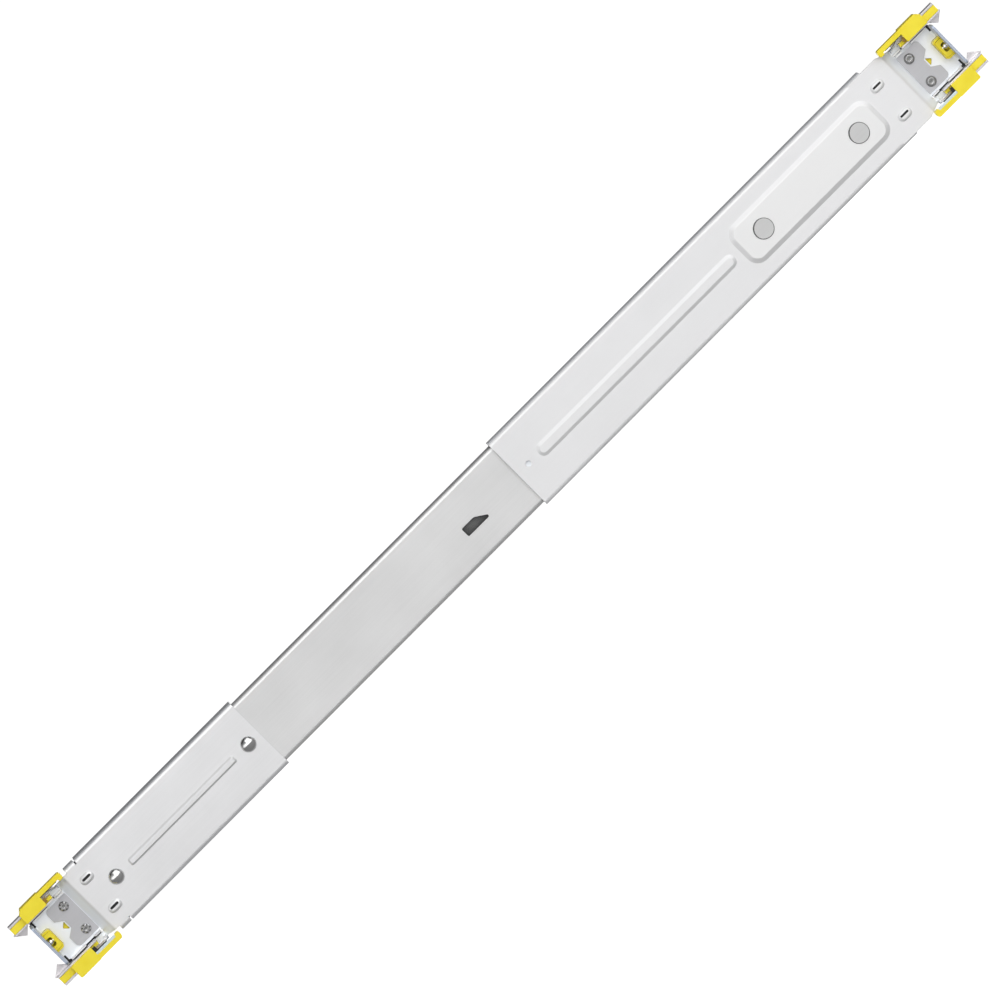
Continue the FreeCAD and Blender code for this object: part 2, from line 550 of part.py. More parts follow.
def outer_rail():
    path = [
        (RAIL_OPEN_Y, STEP_HALF),
        (STEP_Y, STEP_HALF),
        (STEP_Y, RAIL_HALF),
        (RAIL_WEB_Y, RAIL_HALF),
        (RAIL_WEB_Y, -RAIL_HALF),
        (STEP_Y, -RAIL_HALF),
        (STEP_Y, -STEP_HALF),
        (RAIL_OPEN_Y, -STEP_HALF),
    ]
    rail = prism("x", sheet_outline(path), RAIL_FRONT, RAIL_REAR)
    back = RAIL_WEB_Y + SHEET
    shoulder = WINDOW_START + WINDOW_SHOULDER
    tip = WINDOW_START + WINDOW_LENGTH
    stop_tab = block(
        RAIL_FRONT, RAIL_FRONT + SHEET, RAIL_WEB_Y, back + RAIL_TAB, -RAIL_TAB_HALF, RAIL_TAB_HALF
    )
    lip_y = (back - SHEET / 2, back + WINDOW_LIP_REACH)
    window_lip = block(WINDOW_START, shoulder, *lip_y, WINDOW_TOP, WINDOW_TOP + WINDOW_LIP)
    rail = joined(rail, stop_tab, window_lip)
    fin = [
        (WINDOW_START, WINDOW_TOP, WINDOW_CORNER),
        (WINDOW_START, WINDOW_BOTTOM, WINDOW_CORNER),
        (tip, WINDOW_BOTTOM, WINDOW_CORNER),
        (tip, WINDOW_BOTTOM + WINDOW_TIP, WINDOW_CORNER),
        (shoulder, WINDOW_TOP, WINDOW_CURVE),
    ]
    slot = rectangle(
        DIMPLE_X - DIMPLE_DIAMETER / 2 - STOP_GAP,
        DIMPLE_X + DEPTH_TRAVEL + DIMPLE_DIAMETER / 2 + STOP_GAP,
        -DIMPLE_DIAMETER / 2 - SLIDE_GAP,
        DIMPLE_DIAMETER / 2 + SLIDE_GAP,
        DIMPLE_DIAMETER / 2,
    )
    web = (RAIL_WEB_Y - 1, back)
    cuts = [prism("y", fin, *web), prism("y", slot, *web)]
    cuts += [rod("y", x, 0, DOME_SHANK + 2 * RIVET_PLAY, *web) for x in DOME_RIVETS_X]
    cuts.append(rod("y", bumper_x(), 0, BUMPER_PEG + 2 * RIVET_PLAY, *web))
    for side in (-1, 1):
        cuts.append(raceway(OUTER_BALL, OUTER_ROW_Y, side * OUTER_BALL_Z, RAIL_FRONT, RAIL_REAR))
    return cut(rail, *cuts)


def row(first, spacing, last):
    """Places from first on, one spacing apart and none past last."""
    count = int((last - first) // spacing) + 1
    return [first + i * spacing for i in range(count)]


def access_holes_x():
    """Places of the access holes in the intermediate rail, behind the lever's stop."""
    return row(STOP_FACE_X + ACCESS_GAP, ACCESS_SPACING, MIDDLE_REAR - ACCESS_MARGIN)


def intermediate_rail():
    path = [
        (RAIL_OPEN_Y, MIDDLE_HALF),
        (MIDDLE_WEB_Y, MIDDLE_HALF),
        (MIDDLE_WEB_Y, -MIDDLE_HALF),
        (RAIL_OPEN_Y, -MIDDLE_HALF),
    ]
    rail = prism("x", sheet_outline(path), MIDDLE_FRONT, MIDDLE_REAR)
    back = MIDDLE_WEB_Y + SHEET
    stop_tab = block(
        MIDDLE_REAR - SHEET, MIDDLE_REAR, MIDDLE_WEB_Y - MIDDLE_TAB, back, -MIDDLE_TAB_HALF, MIDDLE_TAB_HALF
    )
    rail = joined(rail, stop_tab)
    through = (MIDDLE_WEB_Y - 1, back + 1)
    cuts = [rod("y", x, 0, ACCESS_DIAMETER, *through) for x in access_holes_x()]
    cuts += [rod("y", x, STOP_PEG_Z, STOP_PEG + 2 * RIVET_PLAY, *through) for x in stop_pegs_x()]
    for side in (-1, 1):
        cuts.append(raceway(OUTER_BALL, OUTER_ROW_Y, side * OUTER_BALL_Z, MIDDLE_FRONT, MIDDLE_REAR))
        cuts.append(raceway(INNER_BALL, INNER_ROW_Y, side * INNER_BALL_Z, MIDDLE_FRONT, MIDDLE_REAR))
    return cut(rail, *cuts)


def keyholes_x():
    """Places of the keyholes' round ends, as many as fit in front of the lever's nose."""
    last = LEVER_PIVOT_X - LEVER_NOSE_REACH - KEYHOLE_RUN - KEYHOLE_HEAD
    return row(KEYHOLE_X, KEYHOLE_SPACING, last)


def inner_rail():
    path = [
        (INNER_OPEN_Y, INNER_HALF),
        (CHASSIS_SIDE_Y, INNER_HALF),
        (CHASSIS_SIDE_Y, -INNER_HALF),
        (INNER_OPEN_Y, -INNER_HALF),
    ]
    rail = prism("x", sheet_outline(list(reversed(path))), INNER_FRONT, INNER_REAR)
    through = (INNER_WEB_Y - 1, CHASSIS_SIDE_Y + 1)
    cuts = [rod("y", SCREW_HOLE_X, 0, SCREW_HOLE_DIAMETER, *through)]
    for x in keyholes_x():
        neck = rectangle(x, x + KEYHOLE_RUN, -KEYHOLE_NECK / 2, KEYHOLE_NECK / 2)
        cuts.append(rod("y", x, 0, KEYHOLE_HEAD, *through))
        cuts.append(prism("y", neck, *through))
        cuts.append(rod("y", x + KEYHOLE_RUN, 0, KEYHOLE_NECK, *through))
    cuts.append(rod("y", LEVER_PIVOT_X, LEVER_PIVOT_Z, LEVER_PIVOT_DIAMETER + 2 * RIVET_PLAY, *through))
    for side in (-1, 1):
        cuts.append(raceway(INNER_BALL, INNER_ROW_Y, side * INNER_BALL_Z, INNER_FRONT, INNER_REAR))
    return cut(rail, *cuts)


# Ball cages
def ball_places(front, rear):
    """Places along a cage of one row of balls."""
    step = (rear - front - 2 * BALL_MARGIN) / (BALLS_PER_ROW - 1)
    return [front + BALL_MARGIN + i * step for i in range(BALLS_PER_ROW)]


def outer_ball_cage():
    half = OUTER_BALL_Z + CAGE_SHEET / 2
    path = [
        (OUTER_CAGE_WEB_Y + OUTER_CAGE_DEPTH, half),
        (OUTER_CAGE_WEB_Y, half),
        (OUTER_CAGE_WEB_Y, -half),
        (OUTER_CAGE_WEB_Y + OUTER_CAGE_DEPTH, -half),
    ]
    cage = prism("x", sheet_outline(path, CAGE_SHEET), OUTER_CAGE_FRONT, OUTER_CAGE_REAR)
    pockets = [
        rod("z", x, OUTER_ROW_Y, OUTER_BALL + 2 * POCKET_PLAY, -RAIL_HALF, RAIL_HALF)
        for x in ball_places(OUTER_CAGE_FRONT, OUTER_CAGE_REAR)
    ]
    return cut(cage, *pockets)


def inner_ball_cages():
    y0 = INNER_ROW_Y - INNER_CAGE_WIDTH / 2
    low, top = INNER_BALL_Z - CAGE_SHEET / 2, INNER_BALL_Z + CAGE_SHEET / 2
    strip = block(INNER_CAGE_FRONT, INNER_CAGE_REAR, y0, y0 + INNER_CAGE_WIDTH, low, top)
    pockets = [
        rod("z", x, INNER_ROW_Y, INNER_BALL + 2 * POCKET_PLAY, 0, RAIL_HALF)
        for x in ball_places(INNER_CAGE_FRONT, INNER_CAGE_REAR)
    ]
    strip = cut(strip, *pockets)
    return group(strip, upside_down(strip))


def balls(diameter, row_y, row_z, places):
    """Both rows of balls of one cage."""
    return group(
        *(Part.makeSphere(diameter / 2, V(x, row_y, side * row_z)) for x in places for side in (-1, 1))
    )


# Fasteners
def dome_rivet(x):
    """Rivet with a domed head on the outer face and a flat set head behind the sheets."""
    head, rise, web_y, grip = DOME_DIAMETER, DOME_RISE, FRONT_WEB_Y, 2 * SHEET
    radius = (head * head / 4 + rise * rise) / (2 * rise)
    ball = Part.makeSphere(radius, V(x, web_y - rise + radius, 0))
    dome = ball.common(block(x - head, x + head, web_y - 2 * rise, web_y, -head, head))
    body = rod("y", x, 0, DOME_SHANK, web_y - rise / 2, web_y + grip)
    set_head = rod("y", x, 0, SET_HEAD_DIAMETER, web_y + grip, web_y + grip + SET_HEAD_RISE)
    return joined(dome, body, set_head)


def front_bracket_rivets():
    return group(*(dome_rivet(x) for x in DOME_RIVETS_X))


def flush_rivets():
    face = REAR_WEB_Y - PAD_RISE
    back = REAR_WEB_Y + SHEET + GUIDE_PROUD
    rivets = []
    for x in FLUSH_RIVETS_X:
        head = rod("y", x, 0, FLUSH_DIAMETER, face - FLUSH_RISE, face)
        rivets.append(joined(head, rod("y", x, 0, FLUSH_SHANK, face - FLUSH_RISE / 2, back)))
    return group(*rivets)


def guide_block():
    y0 = REAR_WEB_Y + SHEET - PAD_RISE
    x0, x1 = PAD_START + GUIDE_MARGIN, PAD_END - GUIDE_MARGIN
    half = PAD_HEIGHT / 2 - GUIDE_MARGIN / 2 - PAD_SLOPE / 2
    y1 = REAR_WEB_Y + SHEET + GUIDE_PROUD
    plate = prism("y", rectangle(x0, x1, -half, half, GUIDE_CORNER), y0, y1)
    hole = FLUSH_SHANK + 2 * RIVET_PLAY
    return cut(plate, *(rod("y", x, 0, hole, y0 - 1, y1 + 1) for x in FLUSH_RIVETS_X))


# Pieces of a head, made at the front post
def leaf_plate():
    face = WEB_RECESS_Y
    notch = LEAF_START + LEAF_NOTCH_DEPTH
    edge = [
        (LEAF_END, LEAF_HALF, LEAF_END_CORNER),
        (LEAF_START, LEAF_HALF, LEAF_CORNER),
        (LEAF_START, LEAF_NOTCH_MOUTH, LEAF_NOTCH_CORNER),
        (notch, LEAF_NOTCH_FLOOR, LEAF_NOTCH_CORNER),
    ]
    plate = prism("y", mirrored_halves(edge), face - LEAF_SHEET, face)
    hole, z = LEAF_RIVET_SHANK + 2 * RIVET_PLAY, LEAF_RIVET_Z
    return cut(plate, *(rod("y", LEAF_RIVET_U, side * z, hole, 0, face + 1) for side in (-1, 1)))


def leaf_rivets(hollow):
    face = WEB_RECESS_Y - LEAF_SHEET
    back = WEB_BACK_Y + HOUSING_THICKNESS - LEAF_RIVET_SINK
    foot = LEAF_RIVET_HEAD / 2
    width = LEAF_RIVET_HOLLOW if hollow else LEAF_RIVET_RECESS
    rivets = []
    for z in (-LEAF_RIVET_Z, LEAF_RIVET_Z):
        head = Part.makeCone(
            foot, foot - LEAF_RIVET_SLOPE, LEAF_RIVET_RISE, V(LEAF_RIVET_U, face, z), V(0, -1, 0)
        )
        rivet = joined(head, rod("y", LEAF_RIVET_U, z, LEAF_RIVET_SHANK, face - LEAF_RIVET_RISE / 2, back))
        recess = rod("y", LEAF_RIVET_U, z, width, face - 2 * LEAF_RIVET_RISE, face + LEAF_RIVET_RISE / 2)
        rivets.append(cut(rivet, recess))
    return group(*rivets)


def lock_housing():
    """Plastic guide behind the web, in which the centre lock slides."""
    y0, y1 = WEB_BACK_Y, WEB_BACK_Y + HOUSING_THICKNESS
    edge = rectangle(HOUSING_START, HOUSING_END, -HOUSING_HALF, HOUSING_HALF, HOUSING_CORNER)
    body = prism("y", edge, y0, y1)
    floor = LOCK_PLATE_Y + LOCK_PLATE_THICKNESS + SLIDE_GAP
    end = LOCK_PLATE_END + SLIDE_GAP
    run = block(0, end, y0 - 1, floor, -LOCK_HALF - SLIDE_GAP, LOCK_HALF + SLIDE_GAP)
    wing_start = LOCK_WING_START - LOCK_TRAVEL - SLIDE_GAP
    wing = LOCK_WING_HALF + SLIDE_GAP
    wings = block(wing_start, end, y0 - 1, floor, -wing, wing)
    hole = LEAF_RIVET_SHANK + 2 * RIVET_PLAY
    holes = [rod("y", LEAF_RIVET_U, z, hole, y0 - 1, y1 + 1) for z in (-LEAF_RIVET_Z, LEAF_RIVET_Z)]
    return cut(body, run, wings, *holes)


def lock_slider():
    """Yellow slider that carries the lock pin to the middle hole of the post."""
    y0, y1 = LOCK_PLATE_Y, LOCK_PLATE_Y + LOCK_PLATE_THICKNESS
    start = LOCK_PIN_START + LOCK_START_GAP
    plate = block(start, LOCK_PLATE_END, y0, y1, -LOCK_HALF, LOCK_HALF)
    wings = block(LOCK_WING_START, LOCK_PLATE_END, y0, y1, -LOCK_WING_HALF, LOCK_WING_HALF)
    edge = rectangle(start, LOCK_WINDOW_END - SIDE_GAP, -LOCK_HALF, LOCK_HALF, LOCK_CORNER)
    nose = prism("y", edge, LOCK_REACH_Y, (y0 + y1) / 2)
    cavity = rectangle(-1, LOCK_CAVITY_END, -LOCK_CAVITY_HALF, LOCK_CAVITY_HALF, LOCK_CORNER)
    bore = rod("x", 0, 0, LOCK_PIN_DIAMETER - LOCK_PIN_STEP + 2 * RIVET_PLAY, 0, LOCK_PIN_END)
    return cut(joined(plate, wings, nose), prism("y", cavity, LOCK_REACH_Y - 1, y1 + 1), bore)


def lock_pin():
    """Steel pin with a ball nose, seated in the slider."""
    radius = LOCK_PIN_DIAMETER / 2
    nose = Part.makeSphere(radius, V(LOCK_PIN_START + radius, 0, 0))
    shank = rod("x", 0, 0, LOCK_PIN_DIAMETER - LOCK_PIN_STEP, LOCK_PIN_START + radius, LOCK_PIN_END)
    return joined(nose, shank)


def steel_hook():
    """Steel hook of an upper latch: a channel with a barb that catches behind the square hole."""
    web_edge = [
        (-HOOK_REACH, HOOK_INNER_Z + BARB_TIP_RISE),
        (BARB_PEAK_U, BARB_PEAK_Z, HOOK_CORNER),
        (0, BARB_BACK_Z, HOOK_CORNER),
        (GRIP_BLOCK_START, HOOK_INNER_Z, HOOK_CORNER),
        (HOOK_END_U, HOOK_INNER_Z, TAIL_CORNER),
        (HOOK_END_U, TAIL_INNER_Z, HOOK_CORNER),
        (TAIL_END_U, TAIL_INNER_Z, TAIL_CORNER),
        (TAIL_END_U, TAIL_OUTER_Z, TAIL_CORNER),
        (GRIP_BLOCK_END, TAIL_OUTER_Z),
        (GRIP_BLOCK_END - TAIL_SLANT, HOOK_OUTER_Z),
        (-PRONG_REACH, HOOK_OUTER_Z, HOOK_CORNER),
        (-PRONG_REACH + PRONG_SLANT, HOOK_INNER_Z + PRONG_RISE, HOOK_CORNER),
    ]
    web = prism("y", web_edge, HOOK_WEB_Y, HOOK_WEB_Y + HOOK_SHEET)
    across = (HOOK_FRONT_Y, HOOK_WEB_Y)
    inner_start, inner_z = -HOOK_REACH + INNER_WALL_GAP, HOOK_INNER_Z
    outer_start, outer_z = -PRONG_REACH + OUTER_WALL_GAP, HOOK_OUTER_Z
    outer_end = GRIP_BLOCK_END - OUTER_WALL_GAP
    inner_wall = block(inner_start, HOOK_END_U, *across, inner_z, inner_z + HOOK_WALL)
    outer_wall = block(outer_start, outer_end, *across, outer_z - HOOK_SHEET, outer_z)
    pivot = rod("y", PIVOT_U, PIVOT_Z, PIVOT_DIAMETER + 2 * RUNNING_FIT, 0, WEB_RECESS_Y)
    return cut(joined(web, inner_wall, outer_wall), pivot)


def grip(chamfer):
    """Yellow grip of an upper latch, moulded round its steel hook."""
    inner = HOOK_INNER_Z + HOOK_WALL + GRIP_PLAY
    outer = HOOK_OUTER_Z - HOOK_SHEET - GRIP_PLAY
    back = HOOK_WEB_Y - GRIP_PLAY
    core = block(-GRIP_TIP_REACH, GRIP_BLOCK_END, HOOK_FRONT_Y, back, inner, outer)
    tail = block(GRIP_BLOCK_END - 1, HOOK_END_U, GRIP_TAIL_FRONT_Y, back, inner, GRIP_TAIL_OUTER_Z)
    cover = [
        (GRIP_BLOCK_START, GRIP_BLOCK_INNER_Z, GRIP_CORNER),
        (GRIP_BLOCK_END, GRIP_BLOCK_INNER_Z, GRIP_CORNER),
        (GRIP_BLOCK_END, GRIP_BLOCK_OUTER_Z),
        (GRIP_BLOCK_START + chamfer, GRIP_BLOCK_OUTER_Z, GRIP_CORNER),
        (GRIP_BLOCK_START, GRIP_BLOCK_OUTER_Z - chamfer, GRIP_CORNER),
    ]
    outside = HOOK_OUTER_Z + GRIP_PLAY
    face = prism("y", cover, GRIP_FRONT_Y, HOOK_FRONT_Y - GRIP_PLAY)
    crown = prism("y", cover, GRIP_FRONT_Y, back).common(
        block(0, GRIP_BLOCK_END, GRIP_FRONT_Y, back, outside, GRIP_BLOCK_OUTER_Z)
    )
    neck_start = GRIP_BLOCK_START + GRIP_NECK_START
    neck_front, neck_back = HOOK_FRONT_Y - 2 * GRIP_NECK_DEPTH, HOOK_FRONT_Y + GRIP_NECK_DEPTH
    neck = block(neck_start, GRIP_BLOCK_END, neck_front, neck_back, inner, outer)
    hook_u = GRIP_ARM_END - GRIP_HOOK_WIDTH
    root = GRIP_BLOCK_END - GRIP_ARM_ROOT
    arm_edge = [
        (root, GRIP_ARM_OUTER_Z),
        (root, GRIP_ARM_INNER_Z),
        (hook_u, GRIP_ARM_INNER_Z, GRIP_CORNER),
        (hook_u, GRIP_HOOK_Z, GRIP_CORNER),
        (GRIP_ARM_END, GRIP_HOOK_Z, 2 * GRIP_CORNER),
        (GRIP_ARM_END, GRIP_ARM_OUTER_Z, 3 * GRIP_CORNER),
    ]
    arm = prism("y", arm_edge, GRIP_FRONT_Y, GRIP_ARM_BACK_Y)
    arm = arm.cut(block(0, GRIP_BLOCK_END, HOOK_FRONT_Y - GRIP_PLAY, HOOK_WEB_Y, inner, outside))
    pocket = PIVOT_HEAD + 2 * SLIDE_GAP
    pin_room = rod("y", PIVOT_U, PIVOT_Z, pocket, back - PIVOT_HEAD_RISE - SLIDE_GAP, back + 1)
    return cut(joined(face, crown, neck, core, tail, arm), pin_room)


def pivot_pin():
    """Pin of an upper latch, with its head under the grip and riveted into the ear."""
    back = HOOK_WEB_Y - GRIP_PLAY
    head = rod("y", PIVOT_U, PIVOT_Z, PIVOT_HEAD, back - PIVOT_HEAD_RISE, back)
    shank = rod("y", PIVOT_U, PIVOT_Z, PIVOT_DIAMETER, back, WEB_BACK_Y)
    set_head = rod("y", PIVOT_U, PIVOT_Z, PIVOT_HEAD, WEB_BACK_Y, WEB_BACK_Y + PIVOT_HEAD_RISE)
    return joined(shank, head, set_head)


def latch_spring():
    """Leaf spring that is folded round an ear's seat and reaches under the arm of an upper grip."""
    seat_z, seat_end = EAR_HALF + SPRING_PLAY, SEAT_END + SPRING_PLAY
    path = [
        (SPRING_TIP_U, GRIP_ARM_INNER_Z - SPRING_PLAY - SPRING_SHEET),
        (SEAT_START + SPRING_SHEET / 2, seat_z),
        (seat_end, seat_z),
        (seat_end, EAR_HALF - SPRING_FOOT),
    ]
    y0 = (GRIP_FRONT_Y + GRIP_ARM_BACK_Y - SPRING_WIDTH) / 2
    return prism("y", sheet_outline(path, SPRING_SHEET, SPRING_BEND), y0, y0 + SPRING_WIDTH)


# Pieces of the sliding rails
def release_lever():
    """Flat lever whose nose meets the stop on the intermediate rail."""
    x, z = LEVER_PIVOT_X, LEVER_PIVOT_Z
    nose, tab = x - LEVER_NOSE_REACH, x + LEVER_TAB_REACH
    edge = [
        (nose, LEVER_NOSE_HALF),
        (nose, -LEVER_NOSE_HALF, LEVER_CURVE / 4),
        (nose + LEVER_NOSE_LENGTH, z - LEVER_BELLY + LEVER_CURVE / 4, LEVER_CURVE),
        (x + LEVER_BELLY, z - LEVER_BELLY, LEVER_CURVE),
        (tab, z, LEVER_CURVE / 2),
        (tab, z + LEVER_TAB_RISE, LEVER_CURVE / 2),
        (tab - LEVER_TAB_LENGTH, z + LEVER_TAB_RISE, LEVER_CURVE),
        (x + LEVER_BACK, z + LEVER_BACK, LEVER_CURVE),
        (nose + LEVER_NOSE_LENGTH, LEVER_NOSE_HALF, LEVER_CURVE / 2),
    ]
    lever = prism("y", edge, LEVER_Y, LEVER_Y + LEVER_THICKNESS)
    return cut(lever, rod("y", x, z, LEVER_PIVOT_DIAMETER + 2 * RUNNING_FIT, 0, CHASSIS_SIDE_Y))


def lever_rivet():
    x, z = LEVER_PIVOT_X, LEVER_PIVOT_Z
    head_y = LEVER_Y - SLIDE_GAP
    washer_y = LEVER_Y + LEVER_THICKNESS + SLIDE_GAP
    shank = rod("y", x, z, LEVER_PIVOT_DIAMETER, head_y, CHASSIS_SIDE_Y - RIVET_PLAY)
    head = rod("y", x, z, LEVER_RIVET_HEAD, head_y - LEVER_RIVET_RISE, head_y)
    washer = rod("y", x, z, LEVER_RIVET_WASHER, washer_y, INNER_WEB_Y)
    return joined(shank, head, washer)


def stop_pegs_x():
    """Places of the two pegs of the stop on the intermediate rail."""
    return (STOP_FACE_X - STOP_LENGTH * 0.75, STOP_FACE_X - STOP_LENGTH * 0.25)


def lever_stop():
    """Block on the intermediate rail that the lever's nose stops against, with its pegs."""
    y0 = MIDDLE_WEB_Y + SHEET
    edge = rectangle(STOP_FACE_X - STOP_LENGTH, STOP_FACE_X, STOP_BOTTOM, STOP_TOP)
    body = prism("y", edge, y0, STOP_END_Y)
    pegs = [rod("y", x, STOP_PEG_Z, STOP_PEG, MIDDLE_WEB_Y + 0.1, y0 + 0.5) for x in stop_pegs_x()]
    return joined(body, *pegs)


def bumper_x():
    """Middle of the rear bumper."""
    return MIDDLE_REAR + BUMPER_GAP + BUMPER_LENGTH / 2


def rear_bumper():
    x, y0 = bumper_x(), RAIL_WEB_Y + SHEET
    body = block(x - BUMPER_LENGTH / 2, x + BUMPER_LENGTH / 2, y0, BUMPER_END_Y, -BUMPER_HALF, BUMPER_HALF)
    half = BUMPER_HALF - BUMPER_WALL
    hollow = block(x - 1, x + BUMPER_LENGTH, y0 + BUMPER_FLOOR, BUMPER_END_Y + 1, -half, half)
    return joined(body.cut(hollow), rod("y", x, 0, BUMPER_PEG, RAIL_WEB_Y + 0.1, y0 + 1))


def build():
    """Every node of the rail, by name."""
    nodes = {
        "outer_rail": outer_rail(),
        "front_bracket": front_bracket(),
        "front_bracket_rivets": front_bracket_rivets(),
        "rear_bracket": rear_bracket(),
        "rear_guide_block": guide_block(),
        "guide_block_rivets": flush_rivets(),
        "intermediate_rail": intermediate_rail(),
        "inner_rail": inner_rail(),
        "outer_ball_cage": outer_ball_cage(),
        "outer_cage_balls": balls(
            OUTER_BALL, OUTER_ROW_Y, OUTER_BALL_Z, ball_places(OUTER_CAGE_FRONT, OUTER_CAGE_REAR)
        ),
        "inner_ball_cages": inner_ball_cages(),
        "inner_cage_balls": balls(
            INNER_BALL, INNER_ROW_Y, INNER_BALL_Z, ball_places(INNER_CAGE_FRONT, INNER_CAGE_REAR)
        ),
        "release_lever": release_lever(),
        "release_lever_rivet": lever_rivet(),
        "release_lever_stop": lever_stop(),
        "rear_bumper": rear_bumper(),
    }
    for end, move in (("front", lambda s: s), ("rear", at_rear)):
        nodes[f"{end}_leaf_plate"] = move(leaf_plate())
        nodes[f"{end}_leaf_rivets"] = move(leaf_rivets(end == "rear"))
        nodes[f"{end}_lock_housing"] = move(lock_housing())
        nodes[f"{end}_lock_slider"] = move(lock_slider())
        nodes[f"{end}_lock_pin"] = move(lock_pin())
        nodes[f"{end}_pivot_pins"] = move(group(pivot_pin(), upside_down(pivot_pin())))
        for level, turn in (("upper", lambda s: s), ("lower", upside_down)):
            nodes[f"{end}_{level}_hook"] = move(turn(steel_hook()))
            nodes[f"{end}_{level}_grip"] = move(turn(grip(GRIP_CHAMFERS[level])))
            nodes[f"{end}_{level}_spring"] = move(turn(latch_spring()))
    return nodes


def main():
    os.makedirs("parts", exist_ok=True)
    for name, shape in build().items():
        if not shape.isValid():
            print("not valid:", name)
        shape.exportStep(f"parts/{name}.step")
        print(f"{name}: {len(shape.Solids)} solids, {shape.Volume:.0f} mm3")


main()
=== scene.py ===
import json
import math

import bpy
from mathutils import Matrix, Vector


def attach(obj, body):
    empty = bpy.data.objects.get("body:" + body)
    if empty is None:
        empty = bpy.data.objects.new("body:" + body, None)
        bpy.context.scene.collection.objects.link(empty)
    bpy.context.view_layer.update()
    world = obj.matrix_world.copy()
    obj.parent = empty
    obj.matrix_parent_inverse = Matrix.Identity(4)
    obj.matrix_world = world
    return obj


# One telescoping rack rail, dressed and lit as a studio picture of it.
# Metres, in the frame of the CAD model: +X front to rear, +Z up, -Y the outer side.
# u is a distance inward from the post of either end.

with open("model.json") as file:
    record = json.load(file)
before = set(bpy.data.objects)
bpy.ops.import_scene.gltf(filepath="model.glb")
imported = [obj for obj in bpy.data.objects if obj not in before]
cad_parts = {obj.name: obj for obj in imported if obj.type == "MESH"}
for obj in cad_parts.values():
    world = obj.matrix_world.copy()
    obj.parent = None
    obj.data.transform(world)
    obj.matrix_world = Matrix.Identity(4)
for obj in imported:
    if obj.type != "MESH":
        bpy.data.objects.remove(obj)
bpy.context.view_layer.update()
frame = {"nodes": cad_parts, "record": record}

MM = 0.001

# Camera, fitted to the rail's corners and rivets in the photograph
TARGET = Vector((0.2834, 0.0, -0.0025))
DISTANCE = 4.0
AZIMUTH, ELEVATION, ROLL = math.radians(-1.0), math.radians(7.0), math.radians(-44.94)
LENS, SENSOR = 322.0, 36.0
CLIP = (0.05, 200.0)

# Floor, whose glow in light and reflections rises behind the part to light its back
FLOOR_Z, FLOOR_SIZE = -0.32, 60.0
FLOOR_GREY, FLOOR_ROUGHNESS = 0.35, 0.9
FLOOR_GLOW, FLOOR_GLOW_Y = (0.08, 0.8), (0.03, 0.5)

# World: its brightness, and the parts of a direction's Y and Z over which it changes
WORLD_FRONT, WORLD_BACK, WORLD_TOP = 2.1, 0.06, 0.15
WORLD_TURN_Y, WORLD_TURN_Z = (-0.95, 0.1), (0.12, 0.66)

# Lamps
KEY_FROM, KEY_SIZE, KEY_POWER = (0.9, -1.3, 1.0), (2.0, 2.0), 17.0
BACK_FROM, BACK_SIZE, BACK_POWER = (0.285, 2.4, -0.05), (3.0, 0.4), 7.0

# Noise and samples of every material
NOISE_ROUGHNESS, EDGE_SAMPLES, SHADE_SAMPLES = 0.5, 6, 8

# Metal: clouds and rolled lines as (scale, detail), then stretch, shade, roughness and relief
CLOUDS, ROLLED_LINES = (35.0, 4.0), (6.0, 3.0)
LINE_STRETCH, LINE_SHARE = (6, 300, 300), 0.4
METAL_SHADE, METAL_ROUGH_SPREAD, METAL_RELIEF = 0.85, 0.06, 0.1 * MM

# Plastic: mottling and spark-eroded grain as (scale, detail), then shade, roughness and relief
MOTTLING, SPARK_GRAIN = (120.0, 3.0), (2600.0, 2.0)
PLASTIC_REACH, PLASTIC_SHADE, PLASTIC_ROUGH_SPREAD = 3 * MM, 0.8, 0.05
PLASTIC_GRAIN, PLASTIC_RELIEF = 0.12, 0.05 * MM

# Parts of a noise pattern that are used, and shares of open sky from full shade to none
COLOUR_ENDS, PATTERN_ENDS = (0.3, 0.7), (0.25, 0.75)
OPEN_SHARES, FAINT_SHARES, DEEP_SHARES = (0.04, 0.34), (0.0, 0.05), (0.45, 0.95)

# Places on the CAD model, in millimetres
RACK_DEPTH = 570.0
HEADS = (("front", "fixed_rail"), ("rear", "rear_carrier"))
LEVELS = {"upper": 1, "lower": -1}
LEAF_RIVET_U, LEAF_RIVET_Z = 17.2, 7.1
FLUSH_RIVETS_X = (452.7, 513.2)
LUG_U = {"front": 33.5, "rear": 36.3}
LUG_Z, LUG_SLIT_SHIFT = 8.9, 0.45

# Tones painted by place: axis, four stops in millimetres, colour and share. The web is painted lighter and
# the flange faces darker, as painted light and shade, and the pad top darker.
# They bring the greys of the picture to those of the photograph.
FLANGE_SHADE_STOPS, FLANGE_SHADE_GREY, FLANGE_SHADE_SHARE = (-5.0, -4.0, 1.15, 1.3), (0.4, 0.46, 0.58), 0.9
WEB_LIGHT_BAND = ("Y", (0.4, 1.4, 4.6, 5.4), (0.93, 0.96, 1.0), 1.0)
FRONT_FLANGE_SHADE = ("X", FLANGE_SHADE_STOPS, FLANGE_SHADE_GREY, FLANGE_SHADE_SHARE)
REAR_FLANGE_SHADE = ("X", tuple(RACK_DEPTH - stop for stop in reversed(FLANGE_SHADE_STOPS)), FLANGE_SHADE_GREY, FLANGE_SHADE_SHARE)
PAD_DARK_BAND = ("Y", (-3.0, -2.9, -1.1, -0.7), (0.85, 0.85, 0.85), 0.9)

